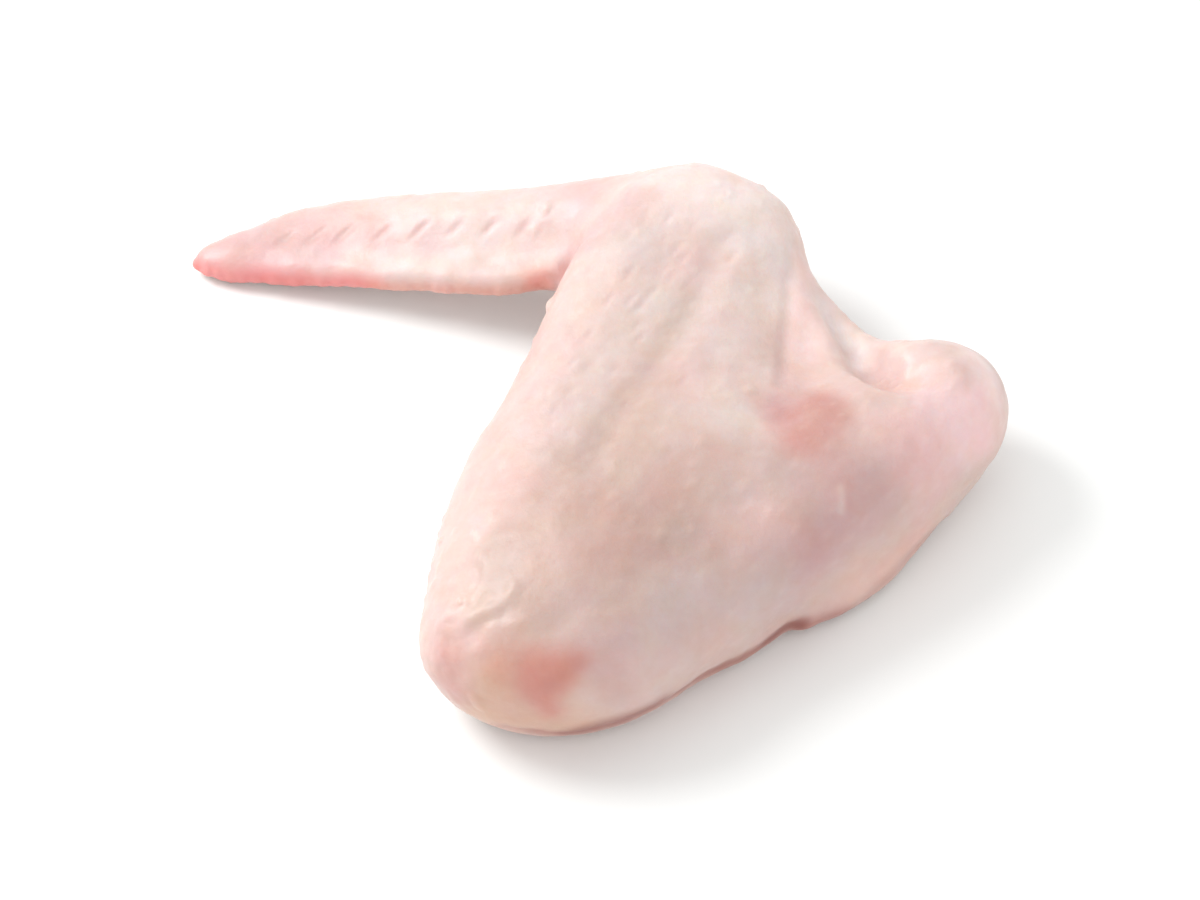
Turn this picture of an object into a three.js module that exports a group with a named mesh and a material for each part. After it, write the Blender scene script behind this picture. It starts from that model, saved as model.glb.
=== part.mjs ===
// A raw chicken wing in one piece, as it lies on a table with the skin side up: the drumette, the flat and
// the wing tip make a folded Z, and a web of skin fills the angle between the drumette and the flat.
//
// The form is a field of signed distances in millimetres. Each section of the wing is an oval tube of flesh
// along its own bone, the sections are melted into one another, and a hollow and a flat foot are pressed in.
// The surface where the field is zero becomes one closed mesh.
//
// While the wing is laid out, +X runs to the right, +Y away from the viewer, +Z up from the table, and the
// elbow is above the origin. At the end the origin moves to the middle of the wing's foot.
import * as THREE from "three";

// Driving dimensions

// Bones, from joint to joint
const HUMERUS = 72;
const FOREARM = 80;
const HAND = 80;
// Directions of the bones on the table, in degrees from +X
const HUMERUS_HEADING = 32;
const FOREARM_HEADING = 71;
const HAND_HEADING = 179;
// Heights of the joints above the table
const ELBOW_HEIGHT = 12;
const SHOULDER_HEIGHT = 13;
const WRIST_HEIGHT = 17;
const TIP_HEIGHT = 1.6;
// Half thickness of the web of skin and of the wing tip's blade
const WEB_HALF = 5;
const BLADE_HALF = 2.5;
// Widths over which the sections melt into one another
const MUSCLE_MELT = 12;
const WRIST_MELT = 7;
const HEM_MELT = 5;
const ELBOW_MELT = 8;
const WEB_MELT = 6;
const FOLD_MELT = 3;
const TIP_MELT = 5;
const HAND_MELT = 5;
// Widths over which the rim of the hollow and the rim of the foot are rounded
const HOLLOW_ROUND = 3.5;
const FOOT_ROUND = 2;
// Spacing of the sample grid
const GRID = 2.05;

const NODE = "wing";
const SKIN = { color: 0xf0cfc4, roughness: 0.45, metalness: 0 };

// Landmarks of the skeleton

// The point at a bone's far end, from its near end, its length and heading on the table, and a height.
function boneEnd(from, length, heading, height) {
  const rise = height - from.z;
  const reach = Math.sqrt(length * length - rise * rise);
  const angle = THREE.MathUtils.degToRad(heading);
  return new THREE.Vector3(from.x + reach * Math.cos(angle), from.y + reach * Math.sin(angle), height);
}

const ELBOW = new THREE.Vector3(0, 0, ELBOW_HEIGHT);
const SHOULDER = boneEnd(ELBOW, HUMERUS, HUMERUS_HEADING, SHOULDER_HEIGHT);
const WRIST = boneEnd(ELBOW, FOREARM, FOREARM_HEADING, WRIST_HEIGHT);
const TIP = boneEnd(WRIST, HAND, HAND_HEADING, TIP_HEIGHT);
// The middle of the fold's open side, between the wrist and the shoulder
const FOLD = WRIST.clone().lerp(SHOULDER, 0.5);

// A place beside a bone: a share of the way along it, then millimetres to its right and up.
function beside(from, to, { share, right = 0, up = 0 }) {
  const along = to.clone().sub(from).setZ(0).normalize();
  return from.clone().lerp(to, share).add(new THREE.Vector3(along.y * right, -along.x * right, up));
}

// Distance functions

const STEPS_PER_TUBE = 14;

// A tube of flesh beside a bone, smoothed through stations that give a place and the half width and height.
function tube(from, to, stations) {
  const line = new THREE.CatmullRomCurve3(stations.map((station) => beside(from, to, station)));
  const girth = new THREE.CatmullRomCurve3(stations.map(({ wide, high }) => new THREE.Vector3(wide, high)));
  const rings = [];
  for (let i = 0; i <= STEPS_PER_TUBE; i++) {
    const at = line.getPoint(i / STEPS_PER_TUBE);
    const half = girth.getPoint(i / STEPS_PER_TUBE);
    rings.push({ at, wide: half.x, high: half.y });
  }
  const segments = rings.slice(1).map((end, i) => {
    const start = rings[i];
    const span = end.at.clone().sub(start.at);
    const along = span.clone().normalize();
    const side = new THREE.Vector3(along.y, -along.x, 0).normalize();
    const above = side.clone().cross(along);
    return { start, end, span, along, side, above, length2: span.lengthSq() };
  });
  const offset = new THREE.Vector3();
  return (p) => {
    let nearest = Infinity;
    for (const s of segments) {
      offset.copy(p).sub(s.start.at);
      const share = THREE.MathUtils.clamp(offset.dot(s.span) / s.length2, 0, 1);
      offset.addScaledVector(s.span, -share);
      const wide = THREE.MathUtils.lerp(s.start.wide, s.end.wide, share);
      const high = THREE.MathUtils.lerp(s.start.high, s.end.high, share);
      const inFrame = [offset.dot(s.side), offset.dot(s.above), offset.dot(s.along)];
      nearest = Math.min(nearest, ovalDistance(inFrame, [wide, high, Math.min(wide, high)]));
    }
    return nearest;
  };
}

// Distance of a place from an oval ball around the origin with half axes a, b and c.
function ovalDistance([x, y, z], [a, b, c]) {
  const near = Math.hypot(x / a, y / b, z / c);
  const slope = Math.hypot(x / (a * a), y / (b * b), z / (c * c));
  return slope < 1e-9 ? -Math.min(a, b, c) : (near * (near - 1)) / slope;
}

// An oval ball that stands upright at a place.
function ball(at, wide, deep, high) {
  return (p) => ovalDistance([p.x - at.x, p.y - at.y, p.z - at.z], [wide, deep, high]);
}

// A sheet of skin over a triangle, with a half thickness.
function sheet(a, b, c, half) {
  const triangle = new THREE.Triangle(a, b, c);
  const foot = new THREE.Vector3();
  return (p) => triangle.closestPointToPoint(p, foot).distanceTo(p) - half;
}

// The union of two distances, melted together over a width.
function melt(a, b, width) {
  const share = Math.max(width - Math.abs(a - b), 0) / width;
  return Math.min(a, b) - (share * share * width) / 4;
}

// A distance with another shape pressed out of it, its rim rounded over a width.
function press(a, hollow, width) {
  return -melt(-a, hollow, width);
}

// Sections of the wing

// The flat: the ulna's side, which carries the flight feathers, and the radius's side, next to the web.
const ulnaSide = tube(ELBOW, WRIST, [
  { share: -0.03, right: -1, wide: 14, high: 12.5 },
  { share: 0.2, right: -4.9, wide: 13.3, high: 12 },
  { share: 0.55, right: -5, wide: 11.2, high: 11 },
  { share: 0.85, right: -6, wide: 9.8, high: 9.8 },
  { share: 0.92, right: -6, wide: 8.5, high: 9 },
]);
const radiusSide = tube(ELBOW, WRIST, [
  { share: 0.05, right: 12, wide: 12, high: 11.5 },
  { share: 0.35, right: 13, wide: 11.5, high: 11 },
  { share: 0.65, right: 12, wide: 10.5, high: 9.8 },
  { share: 0.98, right: 7, wide: 9, high: 8.4 },
]);

// The knuckle of the wrist, broad along the wing's far edge.
const wristKnob = ball(beside(ELBOW, WRIST, { share: 0.95, right: 0.8, up: -1 }), 14.2, 7.4, 8.3);

// The drumette, thickest past its middle, with a blunt shoulder.
const drumette = tube(ELBOW, SHOULDER, [
  { share: 0.05, right: 1.4, wide: 12.5, high: 12 },
  { share: 0.35, right: 4, wide: 13, high: 12.4 },
  { share: 0.7, right: 1.5, wide: 14, high: 14.2 },
  { share: 1.0, right: -0.5, up: 0.5, wide: 12, high: 12 },
]);

// The loose skin that spreads on the table along the lower edge: one fold from the elbow, one under the
// drumette, with a small kink where they meet.
const elbowHem = tube(ELBOW, SHOULDER, [
  { share: 0.05, right: 6.8, up: -8.5, wide: 4, high: 3.3 },
  { share: 0.2, right: 9.8, up: -8.5, wide: 4, high: 3.3 },
  { share: 0.38, right: 12.2, up: -8.7, wide: 4, high: 3.3 },
  { share: 0.5, right: 11, up: -8.8, wide: 3.6, high: 3.2 },
]);
const drumetteHem = tube(ELBOW, SHOULDER, [
  { share: 0.56, right: 12.8, up: -9, wide: 4, high: 3.4 },
  { share: 0.64, right: 13.6, up: -9.2, wide: 4, high: 3.4 },
  { share: 0.74, right: 12.2, up: -9.2, wide: 4, high: 3.4 },
  { share: 0.88, right: 8, up: -8.5, wide: 4, high: 3.4 },
  { share: 1.0, right: 4, up: -8, wide: 4, high: 3.4 },
]);

// The flesh in the crook of the elbow, which fills the angle between the flat and the drumette.
const crook = tube(ELBOW, FOLD, [
  { share: 0.15, up: 1, wide: 14, high: 11.5 },
  { share: 0.45, up: 1, wide: 13, high: 11 },
  { share: 0.68, wide: 9, high: 8 },
]);

// The web between the flat and the drumette, and the rim of skin on its far side.
const web = sheet(
  beside(ELBOW, WRIST, { share: 0.1, right: 8, up: 2 }),
  beside(ELBOW, WRIST, { share: 0.93, right: 12, up: -0.5 }),
  beside(ELBOW, SHOULDER, { share: 0.92, right: -11, up: 2 }),
  WEB_HALF,
);
const farRim = tube(WRIST, SHOULDER, [
  { share: 0.68, right: 0.5, up: -2, wide: 4.5, high: 4.5 },
  { share: 0.83, right: -3.8, up: -3.5, wide: 4.5, high: 4.5 },
  { share: 1.0, right: -7.5, up: -1, wide: 5, high: 5 },
]);

// The wing tip: a ridge of bone along its far edge and a blade of skin down to its near edge. The blade bows
// out a little and ends under the flat.
const tipBone = tube(WRIST, TIP, [
  { share: 0.0, right: 0, wide: 8, high: 7.5 },
  { share: 0.4, right: 3.8, wide: 5.4, high: 4.8 },
  { share: 0.78, right: 7.4, wide: 3.9, high: 3 },
  { share: 0.92, right: 4.6, up: 0.3, wide: 2.4, high: 2 },
  { share: 0.995, right: 2.2, up: 0.4, wide: 2.1, high: 2 },
]);
const bladeRoot = beside(WRIST, TIP, { share: 0.05, right: 2, up: -1 });
const bladeBow = beside(WRIST, TIP, { share: 0.4, right: -7.4, up: -1 });
const bladeEnd = beside(WRIST, TIP, { share: 0.93, right: 1, up: -0.2 });
const bladeTuck = beside(WRIST, TIP, { share: 0.2, right: -7, up: -1 });
const outerBlade = sheet(bladeRoot, bladeBow, bladeEnd, BLADE_HALF);
const innerBlade = sheet(bladeRoot, bladeTuck, bladeBow, BLADE_HALF);

// The fold of skin that the web's free edge makes beside the shoulder.
const rimFold = tube(WRIST, SHOULDER, [
  { share: 0.42, right: -1, up: -1.5, wide: 2.6, high: 2.6 },
  { share: 0.53, right: -2, up: -0.6, wide: 2.6, high: 2.6 },
  { share: 0.6, right: -1.1, up: -0.2, wide: 2.7, high: 2.7 },
  { share: 0.67, right: 0.2, up: -0.4, wide: 2.7, high: 2.7 },
  { share: 0.74, right: 0.5, up: -2, wide: 2.7, high: 2.7 },
]);

// The hollow between the web and the drumette's shoulder: a groove that starts beside the fold at the far rim
// and turns onto the shoulder.
const hollow = tube(ELBOW, SHOULDER, [
  { share: 0.97, right: -24.2, up: 7.2, wide: 2, high: 2.8 },
  { share: 0.955, right: -17.5, up: 5.8, wide: 2.2, high: 3 },
  { share: 0.93, right: -9, up: 8.7, wide: 3, high: 3.6 },
  { share: 0.94, right: -4, up: 12, wide: 3.6, high: 3.6 },
  { share: 0.995, right: -2.5, up: 13.6, wide: 3.2, high: 3.2 },
]);

function wingDistance(p) {
  const flat = melt(melt(ulnaSide(p), radiusSide(p), MUSCLE_MELT), wristKnob(p), WRIST_MELT);
  const arm = melt(drumette(p), Math.min(elbowHem(p), drumetteHem(p)), HEM_MELT);
  const bent = melt(melt(flat, arm, ELBOW_MELT), crook(p), ELBOW_MELT);
  const skinned = melt(melt(bent, melt(web(p), farRim(p), WEB_MELT), WEB_MELT), rimFold(p), FOLD_MELT);
  const blade = Math.min(outerBlade(p), innerBlade(p));
  const hand = melt(tipBone(p), blade, TIP_MELT);
  const whole = melt(skinned, hand, HAND_MELT);
  return press(press(whole, hollow(p), HOLLOW_ROUND), p.z, FOOT_ROUND);
}

// Surface

// The surface of a field inside a box, as a closed mesh: one vertex in each grid cell that the surface
// crosses, and a square of two triangles across each grid edge that it crosses.
function surface(field, box, step) {
  const size = box.getSize(new THREE.Vector3());
  const count = [size.x, size.y, size.z].map((side) => Math.ceil(side / step) + 1);
  const index = (i, j, k) => i + count[0] * (j + count[1] * k);
  const place = (i, j, k) => new THREE.Vector3(i, j, k).multiplyScalar(step).add(box.min);
  const value = new Float64Array(count[0] * count[1] * count[2]);
  eachCell(count, (i, j, k) => {
    value[index(i, j, k)] = field(place(i, j, k));
  });

  const points = [];
  const vertexOf = new Map();
  eachCell(count.map((n) => n - 1), (i, j, k) => {
    const middle = new THREE.Vector3();
    let crossings = 0;
    for (const [a, b] of CELL_EDGES) {
      const va = value[index(i + a[0], j + a[1], k + a[2])];
      const vb = value[index(i + b[0], j + b[1], k + b[2])];
      if (va < 0 === vb < 0) continue;
      const pa = place(i + a[0], j + a[1], k + a[2]);
      const pb = place(i + b[0], j + b[1], k + b[2]);
      middle.add(pa.lerp(pb, va / (va - vb)));
      crossings += 1;
    }
    if (crossings === 0) return;
    vertexOf.set(index(i, j, k), points.length);
    points.push(middle.divideScalar(crossings));
  });

  const squares = [];
  eachCell(count, (i, j, k) => {
    const here = value[index(i, j, k)];
    for (const [axis, u, v] of [[0, 1, 2], [1, 2, 0], [2, 0, 1]]) {
      const next = [i, j, k];
      next[axis] += 1;
      if (next[axis] >= count[axis]) continue;
      const there = value[index(...next)];
      if (here < 0 === there < 0) continue;
      const corner = (du, dv) => {
        const cell = [i, j, k];
        cell[u] -= du;
        cell[v] -= dv;
        return vertexOf.get(index(...cell));
      };
      const square = [corner(1, 1), corner(0, 1), corner(0, 0), corner(1, 0)];
      squares.push(here < 0 ? square : square.reverse());
    }
  });

  relax(points, squares, field, step);
  const triangles = squares.flatMap(([a, b, c, d]) => {
    const shorter = points[a].distanceTo(points[c]) < points[b].distanceTo(points[d]);
    return shorter ? [a, b, c, a, c, d] : [b, c, d, b, d, a];
  });
  return new THREE.BufferGeometry().setFromPoints(points).setIndex(triangles);
}

// The twelve edges of a unit cell.
const CELL_EDGES = [];
for (let a = 0; a < 8; a++) {
  for (const bit of [1, 2, 4]) {
    const corner = (n) => [n & 1, (n >> 1) & 1, (n >> 2) & 1];
    if ((a & bit) === 0) CELL_EDGES.push([corner(a), corner(a | bit)]);
  }
}

function eachCell([ni, nj, nk], visit) {
  for (let k = 0; k < nk; k++) {
    for (let j = 0; j < nj; j++) {
      for (let i = 0; i < ni; i++) visit(i, j, k);
    }
  }
}

const RELAX_ROUNDS = 6;
const RELAX_SHARE = 0.5;

// Evens out the squares: each point moves part of the way to the mean of its neighbours, then back onto
// the surface of the field.
function relax(points, squares, field, step) {
  for (let round = 0; round < RELAX_ROUNDS; round++) {
    const sums = points.map(() => ({ total: new THREE.Vector3(), count: 0 }));
    for (const square of squares) {
      square.forEach((from, side) => {
        sums[from].total.add(points[square[(side + 1) % 4]]);
        sums[from].count += 1;
      });
    }
    points.forEach((point, n) => {
      point.lerp(sums[n].total.divideScalar(sums[n].count), RELAX_SHARE);
      settle(field, point, step);
    });
  }
}

const SETTLE_ROUNDS = 3;
// Length of the probes for the slope, as a share of the grid step, and the least squared slope to divide by
const PROBE_SHARE = 0.02;
const LEAST_SLOPE2 = 0.2;

// Moves a point onto the surface of a field along its slope, by no more than half a grid step.
function settle(field, point, step) {
  const start = point.clone();
  const probe = PROBE_SHARE * step;
  for (let round = 0; round < SETTLE_ROUNDS; round++) {
    const here = field(point);
    const slope = new THREE.Vector3(
      field(point.clone().setX(point.x + probe)) - here,
      field(point.clone().setY(point.y + probe)) - here,
      field(point.clone().setZ(point.z + probe)) - here,
    ).divideScalar(probe);
    point.addScaledVector(slope, -here / Math.max(slope.lengthSq(), LEAST_SLOPE2));
  }
  const moved = point.clone().sub(start);
  point.copy(start).add(moved.clampLength(0, step / 2));
}

// The wing

// Room around the skeleton for the flesh
const FLESH_ROOM = 30;
const room = new THREE.Box3().setFromPoints([ELBOW, SHOULDER, WRIST, TIP]).expandByScalar(FLESH_ROOM);
room.min.z = -2 * GRID;
const geometry = surface(wingDistance, room, GRID);

// The origin goes to the middle of the wing's foot.
geometry.computeBoundingBox();
const middle = geometry.boundingBox.getCenter(new THREE.Vector3());
geometry.translate(-middle.x, -middle.y, -geometry.boundingBox.min.z);
geometry.computeVertexNormals();

const wing = new THREE.Mesh(geometry, new THREE.MeshStandardMaterial(SKIN));
wing.name = NODE;
const group = new THREE.Group();
group.add(wing);

export default group;
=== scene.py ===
"""The looks of a raw chicken wing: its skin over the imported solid, a floor, soft light and the camera."""

import math
import random
from collections import namedtuple

import bmesh
import bpy
import numpy as np
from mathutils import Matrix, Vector, noise
from mathutils.bvhtree import BVHTree
from mathutils.kdtree import KDTree


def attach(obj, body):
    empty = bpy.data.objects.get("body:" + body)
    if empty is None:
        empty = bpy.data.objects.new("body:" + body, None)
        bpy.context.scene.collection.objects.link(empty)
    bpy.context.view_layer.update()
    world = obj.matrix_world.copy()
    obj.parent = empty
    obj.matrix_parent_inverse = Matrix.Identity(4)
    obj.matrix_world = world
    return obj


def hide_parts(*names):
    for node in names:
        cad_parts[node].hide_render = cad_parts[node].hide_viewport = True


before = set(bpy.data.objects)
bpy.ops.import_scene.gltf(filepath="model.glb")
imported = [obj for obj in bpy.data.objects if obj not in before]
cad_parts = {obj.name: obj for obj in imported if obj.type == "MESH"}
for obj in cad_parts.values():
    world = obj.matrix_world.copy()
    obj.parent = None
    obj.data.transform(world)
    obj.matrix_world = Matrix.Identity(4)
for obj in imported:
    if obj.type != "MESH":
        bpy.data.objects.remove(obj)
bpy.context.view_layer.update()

# Units: places and sizes are in mm of the frame, and Blender's objects are in metres
MM = 0.001
WELD = 0.001

# Joints of the wing, inside the flesh
ELBOW = (-9.7, -36.1, 12.0)
SHOULDER = (51.3, 2.0, 13.0)
WRIST = (16.3, 39.4, 17.0)
TIP = (-62.2, 40.7, 1.6)

# Skin mesh: rounds of splitting, the weights of Loop's subdivision, and the table that the skin lies on
SPLITS = 2
EDGE_NEAR = 0.375
EDGE_FAR = 0.125
CORNER_OF_THREE = 0.1875
CORNER_SHARE = 0.375
TABLE_HEIGHT = 0.0

# Noise: how far apart in it two seeds lie, and how steep the edge of a patch is
SEED_STEP = (17.3, 5.1, 9.7)
PATCH_EDGE = 2.0
DRAW_SEED = 11

# Lumps of fat under the skin, as size, height and seed
BROAD_LUMPS = (17.0, 0.4, 0)
SMALL_LUMPS = (6.5, 0.2, 1)
FINE_LUMPS = (2.6, 0.10, 6)

# Soft folds that slant across the flat, as length, breadth and height; away from the valley they are weaker
FOLD_SLANT = math.radians(15)
FOLD_SIZE = (17.0, 5.5)
FOLD_HEIGHT = 0.4
FOLD_REACH = 22.0
FOLD_LEAST = 0.25
FOLD_SEED = 2

# Fine ripples across the flat, as length, breadth and height, in patches
RIPPLE_WAY = (1.0, 0.0, 0.0)
RIPPLE_SIZE = (6.5, 2.3)
RIPPLE_HEIGHT = 0.11
RIPPLE_SEED = 5
RIPPLE_PATCH_SIZE = 11.0
RIPPLE_PATCH_SEED = 10

# Crinkles round the elbow, as length, breadth and depth, and how near to nothing the noise is inside one
CRINKLE_SIZE = (3.2, 2.6)
CRINKLE_DEPTH = 0.12
CRINKLE_WIDTH = 0.35
CRINKLE_PLACE = [(-17.5, -36.0, 22.0), (-20.0, -43.0, 19.5), (-19.0, -47.5, 14.0)]
CRINKLE_REACH = 10.0
CRINKLE_SEED = 11

# Wrinkles and furrows on the elbow's left, weaker outside their patches
WRINKLES = [
    [(-22.1, -40.0, 19.7), (-20.6, -39.0, 21.4)],
    [(-18.4, -42.0, 22.1), (-15.5, -40.3, 24.2), (-13.2, -39.8, 25.2), (-11.6, -38.5, 25.9)],
    [(-19.9, -46.2, 17.4), (-16.8, -46.5, 19.9), (-15.2, -45.9, 21.5), (-14.5, -44.1, 23.1)],
]
FURROWS = [
    [(-19.3, -37.3, 22.5), (-15.9, -37.3, 24.5), (-13.6, -37.7, 25.4)],
    [(-17.3, -43.2, 22.2), (-15.8, -43.1, 23.1), (-13.6, -42.7, 24.2), (-12.3, -42.0, 24.9)],
    [(-16.1, -47.1, 19.8), (-14.8, -46.4, 21.2), (-13.6, -44.9, 23.0)],
    [(-21.1, -43.4, 19.1)],
]
WRINKLE_REACH = 2.2
WRINKLE_HEIGHT = 0.26
FURROW_DEPTH = 0.26
WRINKLE_LEAST = 0.3
WRINKLE_PATCH_SIZE = 3.2
WRINKLE_PATCH_SEED = 13

# Paths of the folds: beside the web, along the flat, and where the tip leaves the flat
CREASE = [(30.8, 29.9, 22.0), (30.6, 24.3, 22.0), (29.9, 15.1, 21.7), (29.0, 5.7, 22.4), (28.5, 1.8, 23.2)]
RIDGE = [(21.6, 21.0, 25.5), (18.2, 10.1, 25.6), (14.8, 0.9, 26.4)]
VALLEY = [(19.8, 27.0, 26.0), (16.9, 17.1, 25.6), (12.4, 7.8, 25.5), (8.4, -0.4, 26.1), (3.7, -7.6, 26.5),
          (-0.2, -16.8, 26.9)]
JUNCTION = [(-4.7, 30.4, 15.4), (-2.5, 30.0, 19.8), (0.4, 31.8, 23.5), (3.2, 34.4, 25.0), (7.3, 35.4, 26.4)]

# Hem of skin along the near lower edge, from under the elbow to the drumette
HEM = [(-12.5, -50.3, 7.0), (-7.8, -50.7, 6.8), (-3.4, -49.6, 4.8), (5.5, -47.8, 6.4), (9.9, -45.8, 7.0),
       (14.3, -41.8, 5.8), (18.9, -37.9, 4.5), (23.4, -34.9, 3.8), (28.9, -30.7, 4.5), (31.5, -29.9, 3.9),
       (37.7, -26.7, 2.7), (44.8, -21.1, 4.0), (49.5, -15.4, 4.5), (53.0, -10.0, 4.0)]

# What the folds do to the skin: path, reach and height, which is negative in a groove
FOLD_LINES = [
    (CREASE, 2.0, -0.3),
    (RIDGE, 3.5, 0.15),
    (VALLEY, 4.0, -0.55),
    (JUNCTION, 2.6, -0.3),
    (HEM, 2.6, -0.35),
]

# Near edge of the tip, from its point to the wrist
TIP_EDGE = [(-62.6, 41.3, 2.2), (-56.5, 39.3, 2.4), (-46.8, 37.2, 3.8), (-33.9, 34.2, 6.4),
            (-14.8, 30.1, 9.8), (-7.5, 30.3, 11.2)]

# Rows of small swellings or dents: beads on the tip's near edge, and the quill marks behind it
Row = namedtuple("Row", "path step size height normal lean jitter")
ROW_STRENGTH = (0.5, 1.2)
BEADS = Row(TIP_EDGE,
            step=2.6, size=(2.8, 2.8), height=0.2, normal=(0, -0.7, 0.7), lean=(1, 0, 0), jitter=0.4)
QUILL_ROWS = [
    Row([(-56.0, 43.9, 5.9), (-36.0, 43.2, 9.6)],
        step=5.0, size=(6.6, 2.3), height=-0.30, normal=(0, 0, 1), lean=(0.80, 0.60, 0.0), jitter=0.05),
    Row([(-35.3, 42.8, 10.0), (-26.9, 41.3, 12.1), (-7.5, 38.3, 16.5)],
        step=5.6, size=(5.4, 2.1), height=-0.18, normal=(0, 0, 1), lean=(0.80, 0.60, 0.0), jitter=0.05),
]

# Follicles: how much their heights and sizes differ, how far from a bone the skin may be, and their patches
FOLLICLE_STRENGTH = (0.2, 1.3)
FOLLICLE_SWELL = (0.75, 1.2)
FOLLICLE_RAY = 30.0
FOLLICLE_LEAST = 0.35
FOLLICLE_PATCH_SIZE = 13.0
FOLLICLE_PATCH_SEED = 12

# Colours of the skin and of the painted light and shade on it, linear
SKIN = (0.64, 0.475, 0.435)
CREAM = (0.61, 0.455, 0.42)
WHITE = (0.72, 0.62, 0.59)
PAINTED_LIGHT_PINK = (0.90, 0.73, 0.70)
PALE = (0.645, 0.54, 0.50)
BEIGE = (0.50, 0.385, 0.33)
DUSK = (0.455, 0.315, 0.275)
BLUSH = (0.76, 0.595, 0.575)
ASH = (0.585, 0.50, 0.465)
ROSE = (0.70, 0.45, 0.43)
CORAL = (0.90, 0.63, 0.65)
MAUVE = (0.56, 0.38, 0.36)
LAVENDER = (0.56, 0.40, 0.395)
FROST = (0.575, 0.425, 0.43)
VIOLET = (0.535, 0.34, 0.335)
GREY = (0.55, 0.44, 0.43)
SLATE = (0.44, 0.345, 0.33)
PEACH = (0.74, 0.495, 0.43)
TAN = (0.60, 0.385, 0.285)
MUSCLE = (0.46, 0.225, 0.20)
SALMON = (0.58, 0.215, 0.165)
PINK = (0.74, 0.42, 0.41)
ROSY = (0.56, 0.335, 0.31)
CHERRY = (0.70, 0.28, 0.28)
RED = (0.70, 0.18, 0.17)
EMBER = (0.68, 0.29, 0.22)
BRICK = (0.45, 0.19, 0.155)
WINE_AND_SHADOW = (0.28, 0.085, 0.065)
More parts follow.
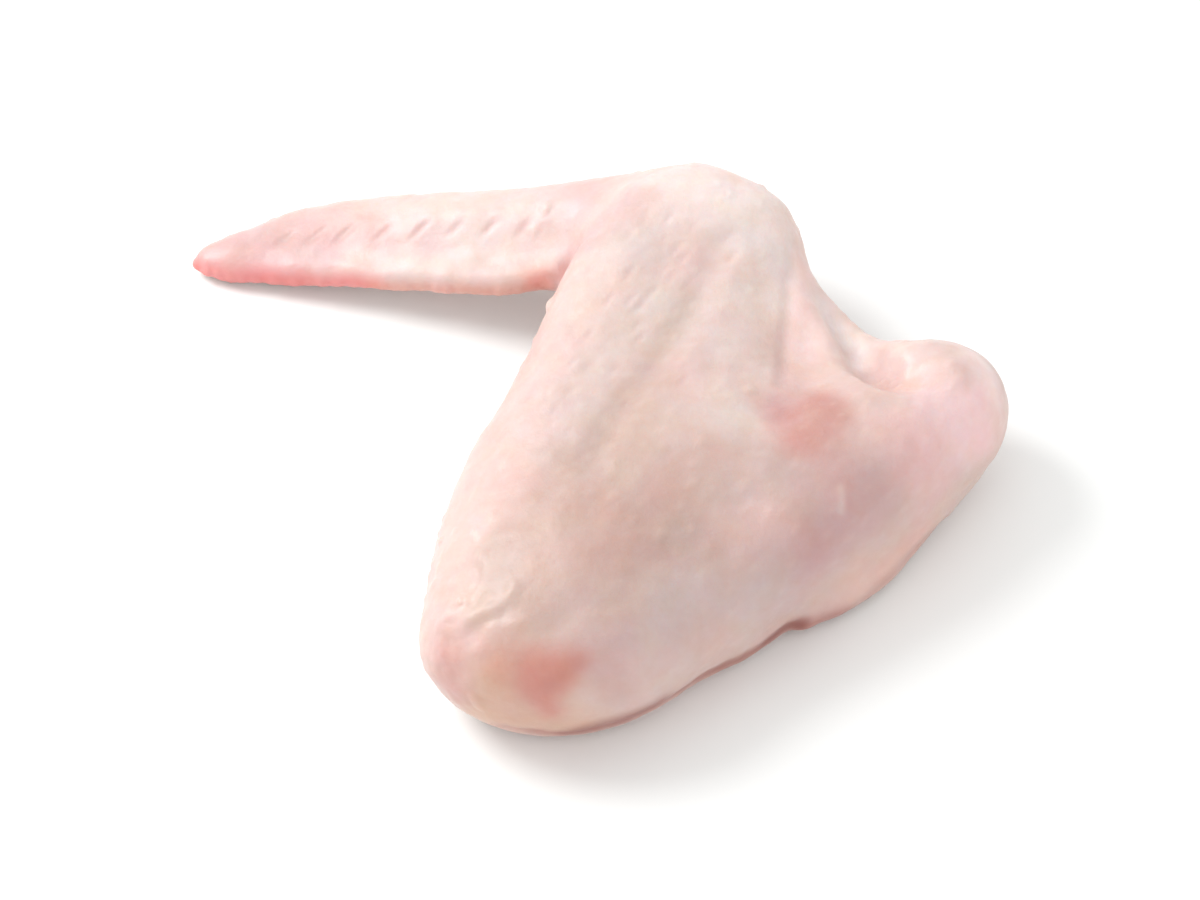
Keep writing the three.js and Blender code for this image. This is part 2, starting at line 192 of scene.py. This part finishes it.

# Stains on the skin and painted light and shade, each over the ones before it, with a path, a reach, a
# colour and a strength
STAINS_AND_PAINTED_LIGHT = [
    # Darker tones over the flat, the elbow's top and the middle of the drumette
    ([(10, 10, 26), (6, -4, 26), (2, -14, 27)], 13, BEIGE, 0.9),
    ([(-3, -22, 27), (2, -34, 26), (9, -26, 26)], 17, DUSK, 0.9),
    ([(18, 26, 25.7), (14, 12, 25.5), (4, 4, 25.7), (-4, -6, 25.6)], 12, GREY, 0.5),
    ([(6, 30, 26), (8, 25, 26)], 5, GREY, 0.6),
    ([(4.5, -5, 26.6), (1, -12, 26.9)], 5, DUSK, 0.5),
    ([(20, -12, 26), (12, -24, 26)], 12, DUSK, 0.6),
    ([(-12.5, -33, 25.8), (-10.8, -38.2, 26.2), (-8.7, -42.1, 25.6)], 8.5, DUSK, 0.9),
    ([(-12, -31, 25.4), (-14, -38, 24.2), (-15.8, -40.3, 24.1)], 7.5, BEIGE, 0.75),
    ([(27, -14.5, 26.5), (28, -17, 26.3)], 7, SLATE, 0.75),
    ([(22, -20, 26), (31, -19, 25.5), (33.5, -22.3, 23.3)], 7, SLATE, 0.3),
    # Bands, valley and left rim of the flat
    ([(24, 30, 25), (22, 12, 25), (20, -6, 26)], 8, PALE, 0.95),
    ([(20.5, 22, 25.6), (17.5, 9.5, 25.6), (16, 2, 26.2)], 5, GREY, 0.5),
    ([(8, 27, 25.5), (10, 18, 25.5)], 9, ASH, 0.7),
    # Painted shade: beige down the valley of the flat
    ([(14.7, 17.1, 25.6), (10, 7.8, 25.5), (5.8, -0.4, 26.1), (1.3, -7.6, 26.5)], 3.5, BEIGE, 0.45),
    ([(8, 16, 25.5), (4.2, 6.5, 25.6), (-0.5, -2, 26)], 5, PALE, 0.45),
    ([(-21, -35, 19), (-16, -20, 22), (-12, -3, 22), (-6, 15, 21), (0, 30, 23)], 8, CREAM, 0.9),
    ([(-3, 12, 23), (1, 20, 24), (3, 27, 25)], 7, ASH, 0.6),
    ([(-11, -29, 25.8), (-12, -32, 25.6)], 5, DUSK, 0.5),
    # Wrist, and the corner where the tip begins
    ([(15, 40, 26), (25, 36, 25.5)], 15, WHITE, 0.95),
    # Painted shade: lavender along the fold where the tip leaves the flat, and on the flat beside it
    (JUNCTION, 5.0, LAVENDER, 0.75),
    ([(-0.5, 29, 24.3), (3.5, 31, 25.8), (6, 33, 26.3)], 4.5, LAVENDER, 0.6),
    # Web and crease, with painted shade down the lower crease and where it ends above the muscle, and
    # painted light on the left side of the upper crease
    ([(33, 24, 21), (34, 12, 20.5)], 8, BLUSH, 0.9),
    # Painted shade down the lower crease
    (CREASE[3:], 3.0, MAUVE, 0.5),
    # Painted light on the left side of the upper crease, which lies in shade
    ([(30.3, 32.5, 22.5), (28.9, 24.1, 22.9), (28.4, 16.4, 22.5)], 4.5, WHITE, 0.9),
    # Painted shade where the crease ends above the muscle
    ([(30.5, 0.8, 23.3), (32.5, -1.5, 24)], 4.5, MAUVE, 0.9),
    # Muscle that shows through
    ([(28, -4, 24.2), (29.5, -8, 25.8)], 5, VIOLET, 0.9),
    ([(30.5, -6, 25.6), (34.2, -4.5, 25.4), (34.5, -8, 26.8), (32, -11, 26.6)], 7, MUSCLE, 0.85),
    ([(31, -13, 26.5), (36.5, -14, 26)], 8, MUSCLE, 0.35),
    # Drumette, from the hollow behind it to its flank
    ([(36, 2, 24), (39, -2, 26), (44, -4, 26), (49, -1.5, 25)], 3.5, CREAM, 0.7),
    # Painted light: white along the groove between the web's rim and the drumette, where the rim shades it
    ([(36, 21, 17), (39, 15, 16), (41, 12, 16.5)], 6, WHITE, 0.95),
    ([(46, 8, 21.5), (49, 5, 23.5)], 5, WHITE, 0.7),
    # Painted shade: mauve in the hollow
    ([(42, 7.5, 17.6), (45, 3, 20.8)], 3.5, MAUVE, 0.55),
    # The drumette's end: pink, partly its own colour and partly painted light where the key light does not
    # reach it
    ([(57, -3, 20), (52, -8, 21)], 11, CORAL, 0.8),
    # Painted light: bright pink on the drumette's top, which faces away from the light
    ([(58.5, 6.3, 22), (60, 2.8, 21.3)], 5.5, PAINTED_LIGHT_PINK, 0.7),
    ([(46, -10, 23), (49.5, -12, 20.5), (53, -12.5, 16)], 8.5, ROSE, 0.85),
    # Grey-violet on the front flank, partly the skin's own tone and partly painted shade on the side that
    # faces away from the light
    ([(30, -29, 18), (36, -23, 20), (40, -19, 21)], 11, VIOLET, 0.9),
    ([(12, -40, 20), (24, -32, 18)], 11, GREY, 0.8),
    ([(40, -25, 7), (45, -20, 6), (50, -13, 8)], 8, PEACH, 0.8),
    # Small marks on the flank: a pale streak of painted highlight between two mauve streaks of painted
    # shade, standing in for small wrinkles
    ([(35.3, -19.2, 24.4), (35.3, -21.2, 23.2)], 1.2, MAUVE, 0.5),
    ([(36.9, -18.8, 24.1), (36.9, -21.5, 22.2)], 1.1, PALE, 0.5),
    ([(39.9, -17.1, 23.7), (39.0, -19.4, 22.9)], 1.3, MAUVE, 0.5),
    # Elbow, with its red spot
    ([(-13.4, -50.2, 16), (-14.7, -50.5, 11.2), (-4, -51.5, 9)], 9, TAN, 0.9),
    ([(4, -44.4, 22.8), (1.1, -47.5, 20.8), (3.4, -49.4, 15.8)], 6.5, LAVENDER, 0.7),
    ([(-12, -46.6, 22), (-13, -48.5, 19)], 5, TAN, 0.8),
    ([(-11.5, -45.8, 22.5)], 5, DUSK, 0.5),
    ([(-12.5, -48.5, 20), (-4, -48.8, 20.5)], 5.5, SALMON, 0.35),
    ([(-8.0, -48.8, 20.6), (-2.4, -48.3, 21.0)], 4.5, SALMON, 0.5),
    ([(-8.6, -50.4, 18.0), (-4.8, -50.0, 18.8)], 5.0, SALMON, 0.7),
    ([(-6.6, -51.1, 15.6), (-5.9, -51.6, 13.9)], 4.5, SALMON, 0.7),
    ([(-6.2, -50.4, 18.0), (-2.0, -48.2, 20.9)], 2.2, BRICK, 0.2),
    ([(-20.8, -44.5, 17), (-20.5, -47, 14)], 7.5, ROSY, 0.95),
    # Lower left of the flat
    ([(-17, -22, 7), (-9, 3, 8), (-2, 20, 9)], 9, MAUVE, 0.4),
    # Tip
    ([(-4, 42, 14), (-58, 41, 4)], 15, FROST, 0.75),
    ([(-36, 47, 10), (-10, 44, 17)], 7, PALE, 0.8),
    ([(-38, 38.5, 8.4), (-27.5, 35.4, 10.2), (-14, 34.2, 12.8)], 3.5, PALE, 0.65),
    ([(-7.9, 31.8, 13.6), (-10, 30.9, 12.5)], 3.5, PEACH, 0.7),
    ([(-8.5, 30.5, 11.5), (-7.2, 30.6, 12.2)], 3.0, RED, 0.6),
    ([(-5.7, 30.8, 14.3), (-4.6, 29.8, 15.8)], 4.0, MUSCLE, 0.9),
    ([(-57, 42, 5), (-47, 43.8, 7.5), (-37, 44, 9.6)], 7, ROSY, 0.65),
    # Painted light: white on the tip beside the wrist, where the fold to the flat shades it
    ([(-20, 38.5, 13), (-13, 37.5, 14.5), (-6.5, 35.8, 15.4)], 5, WHITE, 0.7),
    (TIP_EDGE[:4], 4.5, PINK, 0.6),
    (TIP_EDGE[:3], 4.5, CHERRY, 0.7),
    (TIP_EDGE[:4], 3.0, RED, 0.75),
    (TIP_EDGE[3:], 2.4, EMBER, 0.65),
    # Hem: a dark red line along the near lower edge, partly the skin's own red edge and partly painted
    # shadow where the skin turns under onto the table, broader under the elbow's front and darkest at the
    # kink
    (HEM, 3.0, MUSCLE, 0.4),
    (HEM[1:11], 3.2, BRICK, 0.65),
    (HEM[2:10], 2.6, WINE_AND_SHADOW, 0.4),
    ([(-3, -50.2, 6.6), (1.5, -49.6, 7.4), (6, -48.2, 8), (9.5, -46.2, 8.2)], 4.0, WINE_AND_SHADOW, 0.65),
    ([(26.5, -32.4, 4.6), (29.5, -30.6, 4.5), (31, -30, 4.2)], 3.0, WINE_AND_SHADOW, 0.75),
]
QUILL_STAIN = 0.7
# Painted shade in the middle of each pit on the flat
PIT_SHADE = 0.2

# The edges of the stains and of the painted light and shade wander by a share of their reach, up to a limit
WANDER_SHARE = 0.2
WANDER_LIMIT = 2.0
WANDER_SIZE = 6.0
WANDER_SEEDS = (7, 8, 9)

# The far and under side: the way it faces, where it fades in, and its patches as size, colour and strength
FAR_WAY = (0.0, 0.61, -0.79)
FAR_RANGE = (0.0, 0.5)
FAR_SEED = 20
FAR_PATCHES = [
    (18.0, BEIGE, 0.7),
    (13.0, ROSE, 0.7),
    (10.0, PALE, 0.6),
    (7.0, MAUVE, 0.5),
]

# Skin material. Mottling: size of the flecks, strength and the colour that multiplies the skin's own
MOTTLING = [
    (10.0, 0.55, (1.0, 0.86, 0.86, 1.0)),
    (12.0, 0.4, (0.88, 0.92, 0.98, 1.0)),
    (4.3, 0.50, (0.98, 0.95, 0.85, 1.0)),
    (1.7, 0.35, (0.96, 0.89, 0.88, 1.0)),
]
MOTTLING_DETAIL = 3.0
MOTTLING_RANGE = (0.4, 0.65)
TOP_TINT = (0.55, 0.48, 0.42, 1.0)
TOP_STRENGTH = 0.07
TOP_RANGE = (0.2, 1.0)
ROUGHNESS = (0.40, 0.55)
ROUGHNESS_SIZE = 4.0
ROUGHNESS_DETAIL = 3.0
ROUGHNESS_RANGE = (0.3, 0.7)
GRAIN_SIZE = 1.0
GRAIN_DETAIL = 4.0
GRAIN_STRENGTH = 0.6
GRAIN_DEPTH = 0.15
SCATTER_WEIGHT = 0.35
SCATTER_RADIUS = (1.0, 0.45, 0.3)
SCATTER_SCALE = 2.5
COAT_WEIGHT = 0.15
COAT_ROUGHNESS = 0.28

# Sockets of a Mix node that mixes colours
MIX_FACTOR = 0
MIX_FIRST = 6
MIX_SECOND = 7
MIX_RESULT = 2

# Floor
FLOOR_SIZE = 6000.0
FLOOR_COLOUR = (0.91, 0.925, 0.915, 1.0)
FLOOR_ROUGHNESS = 0.7

# Camera, at the photograph's viewing angle
CAMERA_AIM = (1.2, 6.75, 0.0)
CAMERA_ELEVATION = math.radians(52.5)
CAMERA_DISTANCE = 745.0
CAMERA_LENS = 144.0

# Light
WORLD_COLOUR = (1.0, 1.0, 1.0, 1.0)
WORLD_STRENGTH = 1.0
KEY_PLACE = (-310.0, 150.0, 350.0)
KEY_SIZE = 300.0
KEY_POWER = 1.8

draw = random.Random(DRAW_SEED)


def fade(distance, reach):
    """One at no distance, falling smoothly to nothing at the reach."""
    left = np.clip(1.0 - distance / reach, 0.0, 1.0)
    return left * left * (3.0 - 2.0 * left)


def smooth(value, start, end):
    """Nothing at the start, rising smoothly to one at the end."""
    share = np.clip((value - start) / (end - start), 0.0, 1.0)
    return share * share * (3.0 - 2.0 * share)


def path_distance(places, path):
    """How far each place is from a path of straight stretches, or from a single point."""
    points = np.array(path, dtype=float)
    nearest = np.linalg.norm(places - points[0], axis=1)
    for start, end in zip(points[:-1], points[1:]):
        run = end - start
        share = np.clip((places - start) @ run / (run @ run), 0.0, 1.0)
        nearest = np.minimum(nearest, np.linalg.norm(places - start - share[:, None] * run, axis=1))
    return nearest


def clouds(places, size, seed):
    """Smooth noise from about -1 to 1, with features of about the given size."""
    shift = Vector([seed * step for step in SEED_STEP])
    return np.array([noise.noise(Vector(place) + shift) for place in places / size])


def patches(places, size, seed):
    """Soft-edged patches: one inside them and nothing outside."""
    return np.clip(0.5 + PATCH_EDGE * clouds(places, size, seed), 0.0, 1.0)


def at_least(least, share):
    """A share between nothing and one, raised to lie between the least and one."""
    return least + (1.0 - least) * share


def stretched(places, ahead, long, short):
    """Places in a frame along a level way, scaled so that noise gets long that way and short across it."""
    side = np.cross(ahead, (0.0, 0.0, 1.0))
    return np.stack([places @ ahead / long, places @ side / short, places[:, 2] / short], axis=1)


class Bone:
    """A straight line from joint to joint, with its own right and up."""

    def __init__(self, start, end):
        self.start = np.array(start)
        self.run = np.array(end) - self.start
        self.length = np.linalg.norm(self.run)
        self.ahead = self.run / self.length
        flat_right = np.cross(self.ahead, (0.0, 0.0, 1.0))
        self.right = flat_right / np.linalg.norm(flat_right)
        self.up = np.cross(self.right, self.ahead)

    def slanted(self, slant):
        """The level way along the bone, turned towards its right."""
        way = math.cos(slant) * self.ahead + math.sin(slant) * self.right
        way[2] = 0.0
        return way / np.linalg.norm(way)

    def outward(self, turn):
        """The way out from the bone, turned from straight up towards its right."""
        return math.cos(turn) * self.up + math.sin(turn) * self.right


FOREARM = Bone(ELBOW, WRIST)
HUMERUS = Bone(ELBOW, SHOULDER)
HAND = Bone(WRIST, TIP)

# Tracts of follicles: shares of the bone's length, turns about it in degrees, the steps along and round it,
# and how far a follicle strays as a share of the steps
Tract = namedtuple("Tract", "bone shares turns row_step column_step slant size height jitter")
TRACTS = [
    Tract(FOREARM, (0.18, 0.95), (-55, 58), 4.4, 13.0, FOLD_SLANT, (4.2, 2.4), 0.08, 0.35),
    Tract(FOREARM, (0.1, 0.95), (-136, -92), 3.8, 11.0, 0.0, (3.3, 2.7), 0.52, 0.4),
    Tract(FOREARM, (-0.17, 0.12), (-112, -38), 3.2, 16.0, 0.0, (3.0, 2.6), 0.42, 0.45),
    Tract(HUMERUS, (0.3, 1.05), (0, 125), 5.0, 17.0, math.radians(150), (4.2, 2.2), 0.09, 0.45),
    Tract(HUMERUS, (0.6, 1.05), (-120, 0), 4.6, 20.0, 0.0, (3.0, 2.4), 0.20, 0.45),
    Tract(FOREARM, (0.05, 0.95), (120, 235), 4.4, 16.0, 0.0, (3.2, 2.4), 0.25, 0.4),
    Tract(HUMERUS, (0.1, 1.0), (130, 230), 4.4, 16.0, 0.0, (3.2, 2.4), 0.22, 0.4),
    Tract(FOREARM, (1.0, 1.14), (-120, 120), 3.6, 17.0, 0.0, (2.8, 2.3), 0.26, 0.45),
    Tract(HAND, (0.1, 0.95), (70, 240), 4.0, 25.0, 0.0, (2.7, 2.1), 0.26, 0.45),
]

# Small pits on top of the flat
PITS = Tract(FOREARM, (0.3, 0.95), (-45, 50), 6.0, 20.0, FOLD_SLANT, (4.8, 1.8), -0.15, 0.45)

# One swelling of the skin, or a dent if its height is negative
Follicle = namedtuple("Follicle", "place normal lean size height")


def read_solid(solid):
    """The CAD solid's corners in mm and its triangles, with doubled corners welded."""
    welded = bmesh.new()
    welded.from_mesh(solid.data)
    bmesh.ops.remove_doubles(welded, verts=welded.verts, dist=WELD * MM)
    bmesh.ops.triangulate(welded, faces=welded.faces)
    places = np.array([corner.co for corner in welded.verts]) / MM
    faces = np.array([[corner.index for corner in face.verts] for face in welded.faces])
    welded.free()
    return places, faces


def split(places, faces):
    """One round of Loop subdivision: each triangle becomes four, and the surface gets rounder."""
    sides = np.sort(faces[:, [[0, 1], [1, 2], [2, 0]]].reshape(-1, 2), axis=1)
    edges, which = np.unique(sides, axis=0, return_inverse=True)
    which = which.reshape(-1)
    across = np.zeros((len(edges), 3))
    np.add.at(across, which, places[faces[:, [2, 0, 1]].reshape(-1)])
    middles = EDGE_NEAR * (places[edges[:, 0]] + places[edges[:, 1]]) + EDGE_FAR * across
    around = np.zeros_like(places)
    np.add.at(around, edges[:, 0], places[edges[:, 1]])
    np.add.at(around, edges[:, 1], places[edges[:, 0]])
    count = np.bincount(edges.reshape(-1), minlength=len(places))
    weight = np.where(count == 3, CORNER_OF_THREE, CORNER_SHARE / count)
    moved = (1.0 - count * weight)[:, None] * places + weight[:, None] * around
    a, b, c = faces.T
    ab, bc, ca = (len(places) + which.reshape(-1, 3)).T
    parts = [(a, ab, ca), (b, bc, ab), (c, ca, bc), (ab, bc, ca)]
    return np.vstack([moved, middles]), np.vstack([np.stack(part, axis=1) for part in parts])


def normals_of(places, faces):
    """The way out of the surface at each corner."""
    corners = places[faces]
    crosses = np.cross(corners[:, 1] - corners[:, 0], corners[:, 2] - corners[:, 0])
    normals = np.zeros_like(places)
    for k in range(3):
        np.add.at(normals, faces[:, k], crosses)
    return normals / np.linalg.norm(normals, axis=1, keepdims=True)


def lift(places, faces, height):
    """The places moved out by a height each, and kept on or above the table."""
    moved = places + normals_of(places, faces) * height[:, None]
    moved[:, 2] = np.maximum(moved[:, 2], TABLE_HEIGHT)
    return moved


def follicles_of(tract, skin):
    """Follicles on the skin in rows along the tract's bone; each second row is shifted by half a step."""
    made = []
    bone = tract.bone
    stray = tract.jitter
    rows = int((tract.shares[1] - tract.shares[0]) * bone.length / tract.row_step) + 1
    columns = int((tract.turns[1] - tract.turns[0]) / tract.column_step) + 1
    for row in range(rows):
        for column in range(columns):
            ahead = tract.shares[0] * bone.length + (row + draw.uniform(-stray, stray)) * tract.row_step
            half = 0.5 * (row % 2)
            steps = column + half + draw.uniform(-stray, stray)
            turn = math.radians(tract.turns[0] + steps * tract.column_step)
            strength = draw.uniform(*FOLLICLE_STRENGTH)
            swell = draw.uniform(*FOLLICLE_SWELL)
            origin = Vector(bone.start + ahead * bone.ahead)
            hit, normal, _, _ = skin.ray_cast(origin, Vector(bone.outward(turn)), FOLLICLE_RAY)
            if hit is None:
                continue
            grown = (tract.size[0] * swell, tract.size[1] * swell)
            lean = Vector(bone.slanted(tract.slant))
            made.append(Follicle(hit, normal, lean, grown, tract.height * strength))
    return made


def follicles_along(row):
    """Small oval swellings or dents along a row's path, the first half a step from its start."""
    made = []
    normal = Vector(row.normal)
    lean = Vector(row.lean)
    points = [Vector(point) for point in row.path]
    left = row.step / 2.0
    for start, end in zip(points[:-1], points[1:]):
        run = (end - start).length
        while left < run:
            middle = start.lerp(end, left / run)
            made.append(Follicle(middle, normal, lean, row.size, row.height * draw.uniform(*ROW_STRENGTH)))
            left += row.step * draw.uniform(1.0 - row.jitter, 1.0 + row.jitter)
        left -= run
    return made


def raise_follicles(places, follicles):
    """How far each place is lifted by the follicles near it, and how near it is to the middle of one."""
    tree = KDTree(len(places))
    for index, place in enumerate(places):
        tree.insert(place, index)
    tree.balance()
    height = np.zeros(len(places))
    top = np.zeros(len(places))
    for follicle in follicles:
        normal = follicle.normal
        length, width = follicle.size
        along = (follicle.lean - normal * follicle.lean.dot(normal)).normalized()
        aside = normal.cross(along)
        for place, index, _ in tree.find_range(follicle.place, max(length, width) / 2.0):
            offset = place - follicle.place
            ring = (2.0 * offset.dot(along) / length) ** 2 + (2.0 * offset.dot(aside) / width) ** 2
            if ring < 1.0:
                dome = (1.0 - ring) ** 2
                if abs(follicle.height * dome) > abs(height[index]):
                    height[index] = follicle.height * dome
                top[index] = max(top[index], dome)
    return height, top


def mix_into_skin(colours, colour, mask):
    """Mixes a colour into the skin's colours by a mask."""
    colours += (np.array(colour) - colours) * mask[:, None]


def new_mesh(name, places, faces):
    """A smooth mesh object in metres from places in mm and triangles."""
    mesh = bpy.data.meshes.new(name)
    mesh.from_pydata((places * MM).tolist(), [], faces.tolist())
    mesh.shade_smooth()
    made = bpy.data.objects.new(name, mesh)
    bpy.context.collection.objects.link(made)
    return made


class Nodes:
    """A material's node tree, with a short way to add and join nodes."""

    def __init__(self, name):
        self.material = bpy.data.materials.new(name)
        self.material.use_nodes = True
        self.tree = self.material.node_tree
        self.shader = self.tree.nodes["Principled BSDF"]
        self.place = None

    def add(self, kind, **settings):
        """A new node with its settings."""
        node = self.tree.nodes.new(kind)
        for key, value in settings.items():
            setattr(node, key, value)
        return node

    def join(self, source, target):
        """A link from one socket to another."""
        self.tree.links.new(source, target)

    def coordinates(self):
        """The object's own coordinates, from one node for the whole material."""
        if self.place is None:
            self.place = self.add("ShaderNodeTexCoord").outputs["Object"]
        return self.place

    def noise(self, size, detail):
        """Noise with features of about the given size in mm, in the object's own coordinates."""
        texture = self.add("ShaderNodeTexNoise")
        texture.inputs["Scale"].default_value = 1.0 / (size * MM)
        texture.inputs["Detail"].default_value = detail
        self.join(self.coordinates(), texture.inputs["Vector"])
        return texture.outputs["Fac"]

    def span(self, source, low, high, start, end):
        """A value carried from the range start to end into the range low to high."""
        node = self.add("ShaderNodeMapRange")
        node.inputs["From Min"].default_value = start
        node.inputs["From Max"].default_value = end
        node.inputs["To Min"].default_value = low
        node.inputs["To Max"].default_value = high
        self.join(source, node.inputs["Value"])
        return node.outputs["Result"]

    def mix(self, blend, factor, first, second):
        """Two colours mixed by a blend type; each of the three is a socket or a plain value."""
        node = self.add("ShaderNodeMix", data_type="RGBA", blend_type=blend)
        for value, number in ((factor, MIX_FACTOR), (first, MIX_FIRST), (second, MIX_SECOND)):
            socket = node.inputs[number]
            if isinstance(value, bpy.types.NodeSocket):
                self.join(value, socket)
            else:
                socket.default_value = value
        return node.outputs[MIX_RESULT]


def skin_material():
    """Moist raw skin: the stains and painted light and shade, mottled, with pale follicle tops, soft
    scattering and a fine grain.
    """
    nodes = Nodes("raw_skin")
    colour = nodes.add("ShaderNodeAttribute", attribute_name="skin_colour").outputs["Color"]
    top = nodes.add("ShaderNodeAttribute", attribute_name="follicle_top").outputs["Fac"]
    for size, strength, tint in MOTTLING:
        fleck = nodes.span(nodes.noise(size, MOTTLING_DETAIL), 0.0, strength, *MOTTLING_RANGE)
        colour = nodes.mix("MULTIPLY", fleck, colour, tint)
    colour = nodes.mix("SCREEN", nodes.span(top, 0.0, TOP_STRENGTH, *TOP_RANGE), colour, TOP_TINT)
    nodes.join(colour, nodes.shader.inputs["Base Color"])
    gloss = nodes.noise(ROUGHNESS_SIZE, ROUGHNESS_DETAIL)
    nodes.join(nodes.span(gloss, *ROUGHNESS, *ROUGHNESS_RANGE), nodes.shader.inputs["Roughness"])
    bump = nodes.add("ShaderNodeBump")
    bump.inputs["Strength"].default_value = GRAIN_STRENGTH
    bump.inputs["Distance"].default_value = GRAIN_DEPTH * MM
    nodes.join(nodes.noise(GRAIN_SIZE, GRAIN_DETAIL), bump.inputs["Height"])
    nodes.join(bump.outputs["Normal"], nodes.shader.inputs["Normal"])
    nodes.shader.inputs["Subsurface Weight"].default_value = SCATTER_WEIGHT
    nodes.shader.inputs["Subsurface Radius"].default_value = SCATTER_RADIUS
    nodes.shader.inputs["Subsurface Scale"].default_value = SCATTER_SCALE * MM
    nodes.shader.inputs["Coat Weight"].default_value = COAT_WEIGHT
    nodes.shader.inputs["Coat Roughness"].default_value = COAT_ROUGHNESS
    return nodes.material


def floor_material():
    """Plain matt white."""
    nodes = Nodes("floor_white")
    nodes.shader.inputs["Base Color"].default_value = FLOOR_COLOUR
    nodes.shader.inputs["Roughness"].default_value = FLOOR_ROUGHNESS
    return nodes.material


# Skin: the solid's surface, made finer and given its broad relief
places, faces = read_solid(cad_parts["wing"])
for _ in range(SPLITS):
    places, faces = split(places, faces)
rest = places.copy()

relief = np.zeros(len(places))
for size, height, seed in (BROAD_LUMPS, SMALL_LUMPS):
    relief += height * clouds(rest, size, seed)
fold_strength = at_least(FOLD_LEAST, fade(path_distance(rest, VALLEY), FOLD_REACH))
fold_way = stretched(rest, FOREARM.slanted(FOLD_SLANT), *FOLD_SIZE)
relief += FOLD_HEIGHT * fold_strength * clouds(fold_way, 1.0, FOLD_SEED)
for path, reach, height in FOLD_LINES:
    relief += height * fade(path_distance(rest, path), reach)
broken = at_least(WRINKLE_LEAST, patches(rest, WRINKLE_PATCH_SIZE, WRINKLE_PATCH_SEED))
for path in WRINKLES:
    relief += WRINKLE_HEIGHT * broken * fade(path_distance(rest, path), WRINKLE_REACH)
for path in FURROWS:
    relief -= FURROW_DEPTH * broken * fade(path_distance(rest, path), WRINKLE_REACH)
places = lift(places, faces, relief)

# Fine relief: follicles, beads, quill marks, pits, ripples, crinkles and grain
skin = BVHTree.FromPolygons(places.tolist(), faces.tolist())
follicles = []
for tract in TRACTS:
    follicles += follicles_of(tract, skin)
follicles += follicles_along(BEADS)
bumps, tops = raise_follicles(places, follicles)
bumps *= at_least(FOLLICLE_LEAST, patches(rest, FOLLICLE_PATCH_SIZE, FOLLICLE_PATCH_SEED))
quills = []
for row in QUILL_ROWS:
    quills += follicles_along(row)
dents, marks = raise_follicles(places, quills)
hollows, pit_shade_mask = raise_follicles(places, follicles_of(PITS, skin))

ripple_way = stretched(rest, np.array(RIPPLE_WAY), *RIPPLE_SIZE)
ripples = RIPPLE_HEIGHT * clouds(ripple_way, 1.0, RIPPLE_SEED)
ripples *= patches(rest, RIPPLE_PATCH_SIZE, RIPPLE_PATCH_SEED)
crinkle_way = stretched(rest, np.array(RIPPLE_WAY), *CRINKLE_SIZE)
crinkles = CRINKLE_DEPTH * fade(np.abs(clouds(crinkle_way, 1.0, CRINKLE_SEED)), CRINKLE_WIDTH)
crinkles *= fade(path_distance(rest, CRINKLE_PLACE), CRINKLE_REACH)
grain_size, grain_height, grain_seed = FINE_LUMPS
grain = grain_height * clouds(rest, grain_size, grain_seed)
places = lift(places, faces, bumps + dents + hollows + grain + ripples - crinkles)

# Colour of the skin: the stains and painted light and shade over one base, the marks with painted shade in
# the pits, and soft patches on the far and under side
colours = np.tile(np.array(SKIN), (len(rest), 1))
wander = np.stack([clouds(rest, WANDER_SIZE, seed) for seed in WANDER_SEEDS], axis=1)
for path, reach, colour, strength in STAINS_AND_PAINTED_LIGHT:
    wandered = rest + min(WANDER_SHARE * reach, WANDER_LIMIT) * wander
    mix_into_skin(colours, colour, strength * fade(path_distance(wandered, path), reach))
mix_into_skin(colours, MAUVE, QUILL_STAIN * marks)
# Painted shade: mauve in the pits
mix_into_skin(colours, MAUVE, PIT_SHADE * pit_shade_mask)
far_side = smooth(normals_of(rest, faces) @ np.array(FAR_WAY), *FAR_RANGE)
for seed, (size, colour, strength) in enumerate(FAR_PATCHES, start=FAR_SEED):
    mix_into_skin(colours, colour, strength * far_side * patches(rest, size, seed))

# The piece, with its colours and follicle tops for the material
wing_skin = new_mesh("wing_skin", places, faces)
colour_layer = wing_skin.data.attributes.new("skin_colour", "FLOAT_COLOR", "POINT")
colour_layer.data.foreach_set("color", np.hstack([colours, np.ones((len(colours), 1))]).ravel())
top_layer = wing_skin.data.attributes.new("follicle_top", "FLOAT", "POINT")
top_layer.data.foreach_set("value", tops)
wing_skin.data.materials.append(skin_material())
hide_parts("wing")
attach(wing_skin, "root")

# Floor, light and camera
bpy.ops.mesh.primitive_plane_add(size=FLOOR_SIZE * MM)
floor = bpy.context.object
floor.name = "floor"
floor.data.materials.append(floor_material())

world = bpy.data.worlds.new("studio")
world.use_nodes = True
background = world.node_tree.nodes["Background"]
background.inputs["Color"].default_value = WORLD_COLOUR
background.inputs["Strength"].default_value = WORLD_STRENGTH
bpy.context.scene.world = world

key_light = bpy.data.lights.new("key", "AREA")
key_light.shape = "DISK"
key_light.size = KEY_SIZE * MM
key_light.energy = KEY_POWER
key = bpy.data.objects.new("key", key_light)
key.location = Vector(KEY_PLACE) * MM
key.rotation_euler = (-key.location).to_track_quat("-Z", "Y").to_euler()
bpy.context.collection.objects.link(key)

camera = bpy.data.objects.new("camera", bpy.data.cameras.new("camera"))
camera.data.lens = CAMERA_LENS
back = Vector((0.0, -math.cos(CAMERA_ELEVATION), math.sin(CAMERA_ELEVATION)))
camera.location = (Vector(CAMERA_AIM) + back * CAMERA_DISTANCE) * MM
camera.rotation_euler = (math.pi / 2 - CAMERA_ELEVATION, 0.0, 0.0)
bpy.context.collection.objects.link(camera)
bpy.context.scene.camera = camera
bpy.context.scene.view_settings.view_transform = "Standard"
